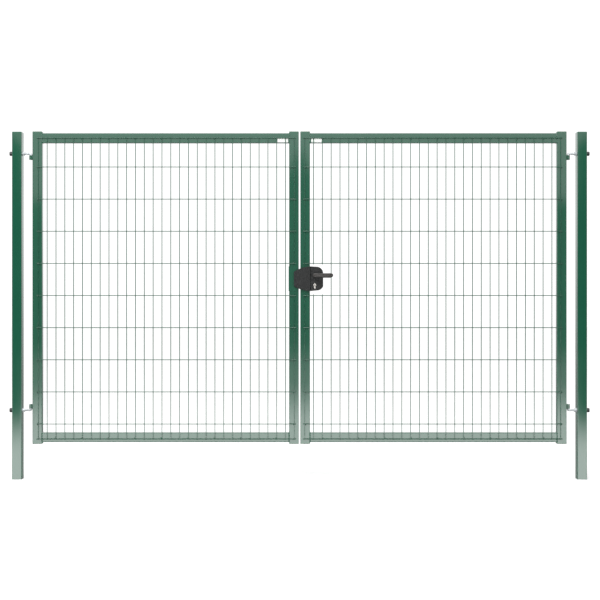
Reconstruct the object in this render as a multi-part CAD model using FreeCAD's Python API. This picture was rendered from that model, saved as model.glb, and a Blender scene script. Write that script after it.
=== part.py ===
"""Two-leaf garden and yard gate: steel posts, tube frames, welded-wire infill, lock and drop bolt.

Millimetres. X runs along the gate (+X is the lock leaf), Y runs away from the front, Z is up.
The origin is on the ground plane of the post feet, midway between the posts.
"""
import FreeCAD, Part
import math
import os

os.makedirs("parts", exist_ok=True)
Vec = FreeCAD.Vector

# ---- driving dimensions -------------------------------------------------------------------
passage = 3460.0            # clear width between the posts
leaf_gap = 10.0             # gap between the two leaves
hinge_gap = 65.0            # gap between a leaf and its post
leaf_height = 1948.0        # over the plastic stile caps
leaf_bottom = 220.0         # underside of the leaf above the post foot
post_size = 60.0            # square post
post_wall = 2.0
post_height = 2165.0        # over the cap
stile_face = 60.0           # frame tube, seen from the front
stile_depth = 40.0          # frame tube, front to back
tube_wall = 2.0
tube_corner = 4.0           # outer corner radius of every tube
cap_plate = 4.0             # plastic cap thickness
cap_chamfer = 2.0
cap_skirt = 12.0            # length of the cap's push-in skirt
cap_skirt_wall = 2.0
cap_clearance = 0.2         # skirt to tube, each side
rail_inset = 11.0           # rail edge to leaf edge

wire_diameter = 5.0
upright_pitch = 55.0
line_wire_pitch = 200.0
first_line_wire = 125.0     # above the leaf's underside
mesh_edge = 27.0            # meeting edge of the leaf to the nearest upright
low_wire_inset = 31.0       # lowest wire to the leaf's underside
high_wire_inset = 41.0      # highest wire to the leaf's top
wire_overhang = 10.0        # line wire past the end upright
upright_overhang = 5.0      # upright past the end wires
cut_stub = 4.0              # stub left beyond the line wire at a cut

hinge_rod = 14.0
hinge_bend = hinge_rod / 2.0 + 1.0   # centreline radius of the bolt's elbow
hinge_pin = hinge_rod - 2.0
hinge_running = 0.1         # radial clearance of pin in bush
hinge_seat = 0.3            # axial clearance between bush and collar
bush_wall = 6.0
bush_diameter = hinge_pin + 2 * bush_wall
bush_length = 26.0
pin_tip = 2.0               # pin beyond the bush
hinge_collar = bush_diameter - 2.0
hinge_collar_height = 3.0
upper_hinge_drop = 137.5    # rod centre below the leaf's top
lower_hinge_rise = 209.0    # rod centre above the leaf's underside
post_hole_clearance = 0.2
nut_across_flats = 1.5 * hinge_rod
nut_height = 11.0
bore_clearance = 0.1         # nuts, washers and grip on their rods, radial
washer_diameter = 2.0 * hinge_rod
washer_thickness = 2.5
nut_cap_wall = 1.2
nut_cap_length = 18.0
rod_past_nut = 2.0

lock_height = 1050.0        # lever spindle above the leaf's underside
backset = 30.0              # lever spindle from the lock stile's inner face
spindle_square = 8.0
cylinder_below_spindle = 58.5
lock_above_spindle = 56.0
lock_below_spindle = 97.0
lock_width = 82.0           # lock covers beyond the lock stile
guard_overlap = 40.0        # guard plate beyond the leaf's meeting edge
guard_thickness = 18.0      # guard plate ahead of the lock stile
guard_wall = 3.0
guard_overlap_gap = 2.0     # guard plate to keep
guard_seat = 15.0           # strip of the guard plate's rim that bears on the lock stile
guard_past_stile = 3.0      # guard plate beyond the lock stile
seam = 2.0                  # groove between guard plate and cover
cover_step = 2.0            # cover's face behind the guard plate's face
cover_wall = 2.5
stile_clearance = 0.3       # covers to the lock stile
case_width = 67.0
case_below_spindle = 89.0
case_above_spindle = 34.0
case_half = 16.0            # half thickness of the lock case
case_wall = 2.0
case_corner = 22.0
slot_clearance = 0.3

latch_height = 18.0
latch_thickness = 12.0
latch_engagement = 7.0      # latch tip beyond the keep stile's edge
latch_throw = 12.0
latch_riser = 5.0           # thickness of the tail's riser
tail_thickness = 3.0
hub_radius = 10.0
hub_half = 6.5
journal_radius = 8.0
journal_running = 0.05
hub_arm = 18.7              # spindle axis to the hub lobe's centre
lobe_radius = 4.0
lobe_half = 3.0
lobe_play = 0.8             # free play between lobe and tail hook
spring_radius = 2.6
spring_wire = 0.8
spring_turns = 6
spring_seat = 0.4           # coil's end to what it bears on

bolt_above_core = 12.5      # dead bolt's underside above the cylinder's axis
bolt_height = 20.0
bolt_thickness = 10.0
bolt_withdrawn = 1.0        # withdrawn tip inside the lock stile's face
bolt_throw = 20.0
bolt_past_spindle = 29.0
notch_width = 28.0
cylinder_stands_out = 5.0   # profile cylinder beyond each cover
core_radius = 8.5
cylinder_drop = 24.5        # core axis to the bottom of the profile
profile_width = 10.0
profile_clearance = 0.2     # profile cylinder in the case and covers
plug_radius = 6.2
plug_running = 0.05
cam_radius = 15.0
cam_half = 4.8
cam_slot_half = 5.3
keyway_width = 2.0
keyway_height = 8.0

lever_length = 113.0        # spindle axis to the tip
lever_height = 25.0
lever_thickness = 11.0
lever_projection = 56.0     # lever's outer face from the cover
lever_neck = 10.0
lever_root = 14.0
neck_clearance = 0.3

keep_height = 153.0
keep_wall = 3.0
keep_setback = 3.0          # keep's flange ends short of the meeting edge
strike_thickness = 3.0
strike_half_width = 14.0
pocket = 0.8                # room round the latch in the strike and the keep stile
bolt_pocket_room = 2.0      # room round the dead bolt there, so that a sagging leaf still locks
screw_radius = 2.5
screw_running = 0.05        # screws in their clearance holes
panhead_radius = 4.5
panhead_height = 2.5
guard_screw_grip = 11.0     # screw's reach into the guard plate's boss
fixing_radius = 3.0

drop_radius = 8.0
drop_stands_off = 13.0      # rod axis behind the stile's rear face
drop_tip_rise = 6.0         # raised tip above the leaf's underside
drop_throw = 170.0
drop_reach = 64.0           # end of the handle behind the stile's rear face
drop_bend = 20.0
collar_radius = 12.0
collar_height = 6.0
guide_rise = 79.0           # lower guide above the leaf's underside
guide_length = 30.0
guide_wall = 5.0
guide_running = 0.1
stop_play = 2.0
clip_rise = 15.0            # clip above the upper guide
clip_height = 20.0
clip_thickness = 1.5

# ---- derived places -----------------------------------------------------------------------
half_passage = passage / 2.0
leaf_near = leaf_gap / 2.0
leaf_far = half_passage - hinge_gap
leaf_width = leaf_far - leaf_near
leaf_top = leaf_bottom + leaf_height
hinge_x = leaf_far + bush_diameter / 2.0
upper_rod_z = leaf_top - upper_hinge_drop
lower_rod_z = leaf_bottom + lower_hinge_rise
front_face = -stile_depth / 2.0
upright_y = front_face - wire_diameter / 2.0
line_wire_y = upright_y - wire_diameter
upright_count = int((leaf_width - mesh_edge - stile_face / 4.0) / upright_pitch) + 1
stile_inner = leaf_near + stile_face
post_outer = half_passage + post_size
half_depth = stile_depth / 2.0
spindle_x = stile_inner + backset
spindle_z = leaf_bottom + lock_height
cylinder_z = spindle_z - cylinder_below_spindle
lock_top = spindle_z + lock_above_spindle
lock_low = spindle_z - lock_below_spindle
lock_edge = stile_inner + lock_width
guard_edge = leaf_near - guard_overlap
guard_front = half_depth + guard_thickness
guard_right = stile_inner + guard_past_stile
guard_seat_x = stile_inner - guard_seat
cover_left = guard_right + seam
cover_depth = guard_front - cover_step
case_left = stile_inner
case_right = case_left + case_width
case_low = spindle_z - case_below_spindle
case_top = spindle_z + case_above_spindle
latch_tip = -leaf_near - latch_engagement
bolt_low = cylinder_z + bolt_above_core
bolt_top = bolt_low + bolt_height
bolt_tip = leaf_near - bolt_withdrawn
bolt_tail = spindle_x + bolt_past_spindle
cylinder_half = cover_depth + cylinder_stands_out
lever_reach = cover_depth + lever_projection
lower_fixing_z = cylinder_z - 5.5
upper_fixing_z = case_top - 7.0
cylinder_screw_z = cylinder_z - 20.0
guard_screw_z = (bolt_low - 7.5, case_top + 4.0)
cover_screws_at = ((spindle_x - 13.0, lock_top - 12.5), (lock_edge - 7.8, spindle_z + 8.0),
                   (lock_edge - 7.8, spindle_z - 48.0))
drop_x = -(leaf_near + stile_face / 2.0)
drop_y = half_depth + drop_stands_off
drop_tip_z = leaf_bottom + drop_tip_rise
drop_handle_y = half_depth + drop_reach
lower_guide_z = leaf_bottom + guide_rise
upper_collar_z = lower_guide_z + guide_length + drop_throw + stop_play
upper_guide_z = upper_collar_z + collar_height + stop_play
clip_z = upper_guide_z + guide_length + clip_rise
drop_handle_z = clip_z + clip_height + stop_play + drop_throw + drop_radius + drop_bend


# ---- shared shapes ------------------------------------------------------------------------
def box(x0, x1, y0, y1, z0, z1):
    """Box between two corners, given in any order."""
    lo = Vec(min(x0, x1), min(y0, y1), min(z0, z1))
    return Part.makeBox(abs(x1 - x0), abs(y1 - y0), abs(z1 - z0), lo)


def rod(radius, start, end):
    """Cylinder from one point to another."""
    along = Vec(*end) - Vec(*start)
    return Part.makeCylinder(radius, along.Length, Vec(*start), along)


def rounded_bar(size_a, size_b, corner, length, base, axis):
    """Solid bar of a rounded rectangle, size_a along the first cross axis, centred on base."""
    solid = box(-size_a / 2, size_a / 2, -size_b / 2, size_b / 2, 0, length)
    long_edges = [e for e in solid.Edges if abs(e.tangentAt(e.FirstParameter).z) > 0.9]
    solid = solid.makeFillet(corner, long_edges)
    if axis == "x":
        solid.rotate(Vec(0, 0, 0), Vec(0, 1, 0), 90)
    solid.translate(Vec(*base))
    return solid


def tube(size_a, size_b, length, base, axis, wall):
    """Rectangular tube with round corners and open ends."""
    outer = rounded_bar(size_a, size_b, tube_corner, length, base, axis)
    inner = rounded_bar(size_a - 2 * wall, size_b - 2 * wall, tube_corner - wall, length, base, axis)
    return outer.cut(inner)


def push_in_cap(size_a, size_b, wall, x, z_seat, up):
    """Plastic cap with chamfered edges and a hollow skirt that pushes into the tube."""
    plate = rounded_bar(size_a, size_b, tube_corner, cap_plate, (0, 0, 0), "z")
    rim = [e for e in plate.Edges if min(v.Z for v in e.Vertexes) > cap_plate - 0.01]
    plate = plate.makeChamfer(cap_chamfer, rim)
    skirt_a = size_a - 2 * wall - 2 * cap_clearance
    skirt_b = size_b - 2 * wall - 2 * cap_clearance
    corner = tube_corner - wall
    skirt = rounded_bar(skirt_a, skirt_b, corner, cap_skirt, (0, 0, -cap_skirt), "z")
    hollow = box(-skirt_a / 2 + cap_skirt_wall, skirt_a / 2 - cap_skirt_wall,
                 -skirt_b / 2 + cap_skirt_wall, skirt_b / 2 - cap_skirt_wall, -cap_skirt, 0)
    cap = plate.fuse(skirt.cut(hollow)).removeSplitter()
    if not up:
        cap.rotate(Vec(0, 0, 0), Vec(1, 0, 0), 180)
    cap.translate(Vec(x, 0, z_seat))
    return cap


def hexagon(across_flats, x0, x1, y, z):
    """Hexagonal prism along X."""
    corner = across_flats / math.sqrt(3.0)
    angles = [math.radians(60 * k) for k in range(6)]
    points = [Vec(x0, y + corner * math.cos(a), z + corner * math.sin(a)) for a in angles]
    face = Part.Face(Part.makePolygon(points + [points[0]]))
    return face.extrude(Vec(x1 - x0, 0, 0))


def mirrored(shape):
    """The same piece on the other side of the gate."""
    return shape.mirror(Vec(0, 0, 0), Vec(1, 0, 0))


def save(name, *shapes):
    """Write one node: a single solid, or a group of separate solids."""
    solids = [s for shape in shapes for s in shape.Solids]
    out = solids[0] if len(solids) == 1 else Part.makeCompound(solids)
    out.exportStep("parts/" + name + ".step")


def panhead(x, y, z, length):
    """Pan-head screw along Y with its head to the rear; length is below the head."""
    head = rod(panhead_radius, (x, y, z), (x, y + panhead_height, z))
    shank = rod(screw_radius, (x, y, z), (x, y - length, z))
    return head.fuse(shank).removeSplitter()


def countersunk_x(x, y, z, length, radius):
    """Countersunk screw along X with its flat head flush at x, pointing to larger X."""
    head = Part.makeCone(radius * 2, radius, radius, Vec(x, y, z), Vec(1, 0, 0))
    shank = rod(radius, (x + radius, y, z), (x + length, y, z))
    return head.fuse(shank).removeSplitter()


# ---- posts --------------------------------------------------------------------------------
post_x = half_passage + post_size / 2.0
post_tube_top = post_height - cap_plate
post = tube(post_size, post_size, post_tube_top, (post_x, 0, 0), "z", post_wall)
hole_radius = hinge_rod / 2.0 + post_hole_clearance
for rod_z in (lower_rod_z, upper_rod_z):
    post = post.cut(rod(hole_radius, (half_passage - 1, 0, rod_z), (post_outer + 1, 0, rod_z)))
post_cap = push_in_cap(post_size, post_size, post_wall, post_x, post_tube_top, True)
save("right_post", post)
save("left_post", mirrored(post))
save("right_post_cap", post_cap)
save("left_post_cap", mirrored(post_cap))


# ---- hinges -------------------------------------------------------------------------------
def hinge_bolt(rod_z, up):
    """L-shaped hinge bolt: threaded rod through the post, round elbow, collar and upright pin."""
    radius = hinge_rod / 2.0
    rod_end = post_outer + washer_thickness + nut_height + rod_past_nut
    seat_z = hinge_bend + hinge_collar_height
    tip_z = seat_z + hinge_seat + bush_length + pin_tip
    bend_x = hinge_x + hinge_bend
    body = rod(radius, (bend_x, 0, 0), (rod_end, 0, 0))
    section = Part.Face(Part.Wire(Part.Circle(Vec(bend_x, 0, 0), Vec(1, 0, 0), radius).toShape()))
    body = body.fuse(section.revolve(Vec(bend_x, 0, hinge_bend), Vec(0, 1, 0), 90))
    body = body.fuse(rod(hinge_collar / 2.0, (hinge_x, 0, hinge_bend), (hinge_x, 0, seat_z)))
    body = body.fuse(rod(hinge_pin / 2.0, (hinge_x, 0, seat_z), (hinge_x, 0, tip_z))).removeSplitter()
    if not up:
        body = body.mirror(Vec(0, 0, 0), Vec(0, 0, 1))
    body.translate(Vec(0, 0, rod_z))
    return body


def hinge_bush(rod_z, up):
    """Bored bush welded to the stile's edge, one seat clearance away from the bolt's collar."""
    turn = 1.0 if up else -1.0
    start = rod_z + turn * (hinge_bend + hinge_collar_height + hinge_seat)
    end = start + turn * bush_length
    body = rod(bush_diameter / 2.0, (hinge_x, 0, start), (hinge_x, 0, end))
    return body.cut(rod(hinge_pin / 2.0 + hinge_running, (hinge_x, 0, start), (hinge_x, 0, end)))


def washer(x0, x1, rod_z):
    ring = rod(washer_diameter / 2.0, (x0, 0, rod_z), (x1, 0, rod_z))
    return ring.cut(rod(hinge_rod / 2.0 + bore_clearance, (x0, 0, rod_z), (x1, 0, rod_z)))


def nut(x0, x1, rod_z):
    bore = rod(hinge_rod / 2.0 + bore_clearance, (x0, 0, rod_z), (x1, 0, rod_z))
    return hexagon(nut_across_flats, x0, x1, 0, rod_z).cut(bore)


def nut_cap(rod_z):
    """Round plastic cap pushed over the outer nut, closed at its end."""
    inner = nut_across_flats / math.sqrt(3.0)
    outer = inner + nut_cap_wall
    seat = post_outer + washer_thickness
    end = seat + nut_cap_length
    shell = rod(outer, (seat, 0, rod_z), (end, 0, rod_z))
    rim = [e for e in shell.Edges if min(v.X for v in e.Vertexes) > end - 0.01]
    shell = shell.makeFillet(3.0, rim)
    return shell.cut(rod(inner, (seat, 0, rod_z), (end - 2.5, 0, rod_z)))


levels = {"lower": (lower_rod_z, True), "upper": (upper_rod_z, False)}
inner_nuts, outer_nuts, washers, nut_caps, bushes = [], [], [], [], []
for level, (rod_z, up) in levels.items():
    bolt = hinge_bolt(rod_z, up)
    save("right_" + level + "_hinge_bolt", bolt)
    save("left_" + level + "_hinge_bolt", mirrored(bolt))
    inner_seat = half_passage - washer_thickness
    outer_seat = post_outer + washer_thickness
    washers += [washer(inner_seat, half_passage, rod_z), washer(post_outer, outer_seat, rod_z)]
    inner_nuts.append(nut(inner_seat - nut_height, inner_seat, rod_z))
    outer_nuts.append(nut(outer_seat, outer_seat + nut_height, rod_z))
    nut_caps.append(nut_cap(rod_z))
    bushes.append(hinge_bush(rod_z, up))
for name, group in (("hinge_washers", washers), ("hinge_inner_nuts", inner_nuts),
                    ("hinge_outer_nuts", outer_nuts), ("hinge_nut_caps", nut_caps)):
    save(name, *(group + [mirrored(s) for s in group]))
save("right_hinge_bushes", *bushes)
save("left_hinge_bushes", *[mirrored(s) for s in bushes])

# ---- leaf frames --------------------------------------------------------------------------
tube_low = leaf_bottom + cap_plate
tube_high = leaf_top - cap_plate
stile_length = tube_high - tube_low
hinge_stile_x = leaf_far - stile_face / 2.0
meeting_stile_x = leaf_near + stile_face / 2.0
hinge_stile = tube(stile_face, stile_depth, stile_length, (hinge_stile_x, 0, tube_low), "z", tube_wall)
meeting_stile = tube(stile_face, stile_depth, stile_length, (meeting_stile_x, 0, tube_low), "z", tube_wall)
rail_length = leaf_width - 2 * stile_face
bottom_rail_z = leaf_bottom + rail_inset + stile_face / 2.0
top_rail_z = leaf_top - rail_inset - stile_face / 2.0
bottom_rail = tube(stile_face, stile_depth, rail_length, (stile_inner, 0, bottom_rail_z), "x", tube_wall)
top_rail = tube(stile_face, stile_depth, rail_length, (stile_inner, 0, top_rail_z), "x", tube_wall)
caps = {}
for end, seat, up in (("top", tube_high, True), ("bottom", tube_low, False)):
    caps[end] = [push_in_cap(stile_face, stile_depth, tube_wall, x, seat, up)
                 for x in (hinge_stile_x, meeting_stile_x)]


# ---- welded-wire infill -------------------------------------------------------------------
low_wire_z = leaf_bottom + low_wire_inset
high_wire_z = leaf_top - high_wire_inset
line_count = int((high_wire_z - leaf_bottom - first_line_wire) / line_wire_pitch) + 1
line_heights = [leaf_bottom + first_line_wire + k * line_wire_pitch for k in range(line_count)]
mesh_near = leaf_near + mesh_edge
mesh_far = mesh_near + (upright_count - 1) * upright_pitch
cut_low = max(z for z in line_heights if z < lock_low) + wire_diameter / 2.0 + cut_stub
cut_high = min(z for z in line_heights if z > lock_top) - wire_diameter / 2.0 - cut_stub


def uprights(cut_to_x):
    """Upright wires of one leaf; those nearer than cut_to_x stop short of the lock."""
    wires = []
    low = low_wire_z - upright_overhang
    high = high_wire_z + upright_overhang
    for k in range(upright_count):
        x = mesh_near + k * upright_pitch
        spans = [(low, cut_low), (cut_high, high)] if x < cut_to_x else [(low, high)]
        wires += [rod(wire_diameter / 2.0, (x, upright_y, a), (x, upright_y, b)) for a, b in spans]
    return wires


def line_wires(lock_clear_x):
    """Horizontal wires across the front of the uprights; any at the lock's height start beyond it."""
    wires = []
    end = mesh_far + wire_overhang
    for z in [low_wire_z] + line_heights + [high_wire_z]:
        start = lock_clear_x if cut_low < z < cut_high else mesh_near - wire_overhang
        wires.append(rod(wire_diameter / 2.0, (start, line_wire_y, z), (end, line_wire_y, z)))
    return wires


# ---- holes through the lock stile and the keep stile --------------------------------------
latch_low = spindle_z - latch_height / 2.0
latch_high = spindle_z + latch_height / 2.0


def latch_slot(x0, x1):
    c = slot_clearance
    return box(x0, x1, -latch_thickness / 2 - c, latch_thickness / 2 + c, latch_low - c, latch_high + c)


def bolt_slot(x0, x1):
    c = slot_clearance
    return box(x0, x1, -bolt_thickness / 2 - c, bolt_thickness / 2 + c, bolt_low - c, bolt_top + c)


wide = 1.0
lock_stile = meeting_stile.cut(latch_slot(leaf_near - wide, stile_inner + wide))
lock_stile = lock_stile.cut(bolt_slot(leaf_near - wide, stile_inner + wide))
stile_screws = (
    (lower_fixing_z, fixing_radius),
    (upper_fixing_z, fixing_radius),
    (cylinder_screw_z, screw_radius),
)
for z, radius in stile_screws:
    across = rod(radius + screw_running, (leaf_near - wide, 0, z), (stile_inner + wide, 0, z))
    lock_stile = lock_stile.cut(across)
    lock_stile = lock_stile.cut(Part.makeCone(radius * 2, radius, radius, Vec(leaf_near, 0, z), Vec(1, 0, 0)))
guard_screw_x = meeting_stile_x
for z in guard_screw_z:
    through_radius = screw_radius + screw_running
    through = rod(through_radius, (guard_screw_x, -stile_depth, z), (guard_screw_x, stile_depth, z))
    lock_stile = lock_stile.cut(through)

keep_stile = mirrored(meeting_stile)
strike_outer = -leaf_near + strike_thickness
latch_pocket = box(-leaf_near - tube_wall - wide, strike_outer + wide, -latch_thickness / 2 - pocket,
                   latch_thickness / 2 + pocket, latch_low - pocket, latch_high + pocket)
bolt_pocket = box(-leaf_near - tube_wall - wide, strike_outer + wide, -bolt_thickness / 2 - bolt_pocket_room,
                  bolt_thickness / 2 + bolt_pocket_room, bolt_low - bolt_pocket_room,
                  bolt_top + bolt_pocket_room)
keep_mid_z = (lock_top + lock_low) / 2.0
strike_low = keep_mid_z - 55
strike_top = keep_mid_z + 50
strike = box(-leaf_near, strike_outer, -strike_half_width, strike_half_width, strike_low, strike_top)
keep_screws = []
for z in (keep_mid_z - 47, keep_mid_z + 42):
    r = screw_radius
    screw = Part.makeCone(2 * r, r, r, Vec(strike_outer, 0, z), Vec(-1, 0, 0))
    screw = screw.fuse(rod(screw_radius, (strike_outer - screw_radius, 0, z), (strike_outer - 14, 0, z)))
    strike = strike.cut(screw)
    keep_stile = keep_stile.cut(screw)
    keep_screws.append(screw.removeSplitter())
strike = strike.cut(latch_pocket).cut(bolt_pocket)
keep_stile = keep_stile.cut(latch_pocket).cut(bolt_pocket)

# ---- keep: U-shaped steel saddle round the left meeting stile ------------------------------
keep_low = keep_mid_z - keep_height / 2.0
keep_high = keep_mid_z + keep_height / 2.0
keep_back = -stile_inner - keep_wall
keep_front = -leaf_near - keep_setback
keep = box(keep_back, keep_front, -half_depth - keep_wall, half_depth + keep_wall, keep_low, keep_high)
keep = keep.cut(box(-stile_inner, keep_front + wide, -half_depth, half_depth,
                    keep_low - wide, keep_high + wide))
outside_edges = [e for e in keep.Edges
                 if len(e.Vertexes) == 2 and abs(e.Vertexes[0].Z - e.Vertexes[1].Z) > keep_height - 1
                 and abs(e.Vertexes[0].X - keep_back) < 0.01]
keep = keep.makeFillet(keep_wall - 0.5, outside_edges)
for z in (keep_low + 25, keep_high - 25):
    screw = panhead(-meeting_stile_x, half_depth + keep_wall, z, keep_wall + tube_wall + 8)
    hole = rod(screw_radius, (-meeting_stile_x, 0, z), (-meeting_stile_x, half_depth + keep_wall, z))
    keep = keep.cut(hole)
    keep_stile = keep_stile.cut(hole)
    keep_screws.append(screw)

save("right_hinge_stile", hinge_stile)
save("left_hinge_stile", mirrored(hinge_stile))
save("right_meeting_stile", lock_stile)
save("left_meeting_stile", keep_stile)
save("right_top_rail", top_rail)
save("left_top_rail", mirrored(top_rail))
save("right_bottom_rail", bottom_rail)
save("left_bottom_rail", mirrored(bottom_rail))
for end, pair in caps.items():
    save("right_stile_" + end + "_caps", *pair)
    save("left_stile_" + end + "_caps", *[mirrored(c) for c in pair])
save("right_mesh_uprights", *uprights(lock_edge))
save("left_mesh_uprights", *[mirrored(w) for w in uprights(-guard_edge)])
save("right_mesh_line_wires", *line_wires(lock_edge + wire_overhang))
save("left_mesh_line_wires", *[mirrored(w) for w in line_wires(wire_overhang - guard_edge)])
save("strike_plate", strike)
save("keep_saddle", keep)
save("keep_screws", *keep_screws)


# ---- lock outline: barrel shape made of arcs -----------------------------------------------
def arc(a, m, b, y):
    return Part.Arc(Vec(a[0], y, a[1]), Vec(m[0], y, m[1]), Vec(b[0], y, b[1])).toShape()


def line(a, b, y):
    return Part.LineSegment(Vec(a[0], y, a[1]), Vec(b[0], y, b[1])).toShape()


def guard_outline(y, grow):
    """Left half of the lock's outline, moved outwards by grow."""
    right = guard_right + grow
    left = guard_edge - grow
    top_left = (left, lock_top - 34 + grow)
    low_left = (left, lock_low + 30 - grow)
    top_right = (right, lock_top + grow)
    low_right = (right, lock_low - grow)
    top_mid = ((left + right) / 2.0, lock_top - 9 + grow)
    low_mid = ((left + right) / 2.0, lock_low + 7.5 - grow)
    edges = [arc(top_left, top_mid, top_right, y), line(top_right, low_right, y),
             arc(low_right, low_mid, low_left, y), line(low_left, top_left, y)]
    return Part.Face(Part.Wire(edges))


def cover_outline(y, grow):
    """Right half of the lock's outline, moved outwards by grow."""
    left = cover_left - grow
    right = lock_edge + grow
    top_flat = (right - 37, lock_top - 2 + grow)
    top_mid = (right - 12, lock_top - 14 + grow)
    top_end = (right, lock_top - 40 + grow)
    low_end = (right, lock_low + 30 - grow)
    low_mid = (right - 13, lock_low + 12 - grow)
    low_flat = (right - 36, lock_low + 4 - grow)
    low_left = (left, lock_low - grow)
    top_left = (left, lock_top + grow)
    edges = [line(top_left, top_flat, y), arc(top_flat, top_mid, top_end, y), line(top_end, low_end, y),
             arc(low_end, low_mid, low_flat, y), line(low_flat, low_left, y), line(low_left, top_left, y)]
    return Part.Face(Part.Wire(edges))


# ---- guard plate on the lock stile's front --------------------------------------------------
guard_deep = guard_front - half_depth
guard = guard_outline(-guard_front, 0).extrude(Vec(0, guard_deep, 0))
front_rim = [e for e in guard.Edges if max(v.Y for v in e.Vertexes) < -guard_front + 0.01]
guard = guard.makeFillet(1.5, front_rim)
guard = guard.cut(guard_outline(-guard_front + guard_wall, -guard_wall).extrude(Vec(0, guard_deep, 0)))
overlap_back = -half_depth - keep_wall - guard_overlap_gap
guard = guard.cut(box(guard_edge - 5, guard_seat_x, overlap_back, -half_depth + 1,
                      lock_low - 5, lock_top + 5))
guard_screws = []
for z in guard_screw_z:
    boss = rod(6.0, (guard_screw_x, -guard_front + guard_wall, z), (guard_screw_x, -half_depth, z))
    guard = guard.fuse(boss)
    screw = panhead(guard_screw_x, half_depth, z, stile_depth + guard_screw_grip)
    grip_y = -half_depth - guard_screw_grip
    guard = guard.cut(rod(screw_radius, (guard_screw_x, grip_y, z), (guard_screw_x, -half_depth, z)))
    guard_screws.append(screw)
save("lock_guard_plate", guard.removeSplitter())
save("guard_plate_screws", *guard_screws)


# ---- lock case and lid ----------------------------------------------------------------------
def case_block(grow):
    """Case outline with rounded far corners, moved inwards by -grow."""
    block = box(case_left - grow, case_right + grow, -case_half - grow, case_half + grow,
                case_low - grow, case_top + grow)
    far = [e for e in block.Edges if len(e.Vertexes) == 2 and abs(e.Vertexes[0].Y - e.Vertexes[1].Y) > 1
           and min(v.X for v in e.Vertexes) > case_right + grow - 0.01]
    return block.makeFillet(case_corner + grow, far)


def cylinder_profile(y0, y1, grow):
    """Profile-cylinder outline: round core over a narrower flange with a round foot."""
    r = core_radius + grow
    half = profile_width / 2.0 + grow
    foot_z = cylinder_z - cylinder_drop + half - grow
    shape = rod(r, (spindle_x, y0, cylinder_z), (spindle_x, y1, cylinder_z))
    shape = shape.fuse(box(spindle_x - half, spindle_x + half, y0, y1, foot_z, cylinder_z))
    shape = shape.fuse(rod(half, (spindle_x, y0, foot_z), (spindle_x, y1, foot_z)))
    return shape.removeSplitter()


case = case_block(0).cut(case_block(-case_wall))
journal_hole = journal_radius + journal_running
beyond = case_half + wide
case = case.cut(rod(journal_hole, (spindle_x, -beyond, spindle_z), (spindle_x, beyond, spindle_z)))
case = case.cut(cylinder_profile(-beyond, beyond, profile_clearance))
case = case.cut(latch_slot(case_left - wide, case_left + case_wall + wide))
case = case.cut(bolt_slot(case_left - wide, case_left + case_wall + wide))
case = case.cut(rod(screw_radius + screw_running, (case_left - wide, 0, cylinder_screw_z),
                    (case_left + case_wall + wide, 0, cylinder_screw_z)))
fixing_end = case_left + 15.0
inside_half = case_half - case_wall
for z in (lower_fixing_z, upper_fixing_z):
    boss = rod(5.0, (case_left + case_wall / 2, 0, z), (fixing_end, 0, z))
    rib = box(case_left + case_wall / 2, fixing_end, 0, inside_half + case_wall / 2, z - 2, z + 2)
    case = case.fuse(boss.fuse(rib).common(case_block(-case_wall / 2)))
    case = case.cut(rod(fixing_radius, (case_left - wide, 0, z), (fixing_end + wide, 0, z)))
guide_x = bolt_tail - 12.0
guide_end = guide_x + 8.0
guide = box(guide_x, guide_end, -bolt_thickness / 2 - 2.5, inside_half + case_wall / 2,
            bolt_low - 2.5, bolt_top + 2.5)
guide = guide.cut(bolt_slot(guide_x - wide, guide_end + wide))
case = case.fuse(guide).removeSplitter()
lid = case.common(box(case_left - wide, case_right + wide, -case_half - wide, -inside_half,
                      case_low - wide, case_top + wide))
case = case.cut(box(case_left - wide, case_right + wide, -case_half - wide, -inside_half,
                    case_low - wide, case_top + wide))
save("lock_case", case)
save("lock_case_lid", lid)
fixing_bolts = [countersunk_x(leaf_near, 0, z, fixing_end - leaf_near - 1, fixing_radius)
                for z in (lower_fixing_z, upper_fixing_z)]
save("lock_fixing_bolts", *fixing_bolts)

# ---- lock covers ------------------------------------------------------------------------------
cover = cover_outline(0, 0).extrude(Vec(0, cover_depth, 0))
face_rim = [e for e in cover.Edges if min(v.Y for v in e.Vertexes) > cover_depth - 0.01]
cover = cover.makeFillet(2.0, face_rim)
flank = box(stile_inner + stile_clearance, cover_left + cover_wall, 0, half_depth - 0.5, lock_low, lock_top)
cover = cover.fuse(flank)
cover = cover.cut(cover_outline(0, -cover_wall).extrude(Vec(0, cover_depth - cover_wall, 0)))
cover = cover.cut(box(case_left - wide, cover_left + cover_wall + wide, -wide, case_half + slot_clearance,
                      case_low - slot_clearance, case_top + slot_clearance))
rose_y = cover_depth + 1.5
rose = rod(lever_root + 2.5, (spindle_x, cover_depth - cover_wall, spindle_z), (spindle_x, rose_y, spindle_z))
cover = cover.fuse(rose)
neck_hole = lever_neck + neck_clearance
cover = cover.cut(rod(neck_hole, (spindle_x, 0, spindle_z), (spindle_x, cover_depth + 3, spindle_z)))
cover = cover.cut(cylinder_profile(case_half + slot_clearance, cover_depth + 3, profile_clearance))
rear = cover
for x, z in cover_screws_at:
    rear = rear.fuse(rod(4.5, (x, 0, z), (x, cover_depth - cover_wall / 2, z)))
front = rear.mirror(Vec(0, 0, 0), Vec(0, 1, 0))
cover_screws = []
for x, z in cover_screws_at:
    screw = Part.makeCone(4.0, 2.0, 2.0, Vec(x, cover_depth, z), Vec(0, -1, 0))
    screw = screw.fuse(rod(2.0, (x, cover_depth - 2.0, z), (x, -12, z))).removeSplitter()
    rear = rear.cut(screw)
    front = front.cut(screw)
    cover_screws.append(screw)
save("lock_rear_cover", rear.removeSplitter())
save("lock_front_cover", front.removeSplitter())
save("cover_screws", *cover_screws)

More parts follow.
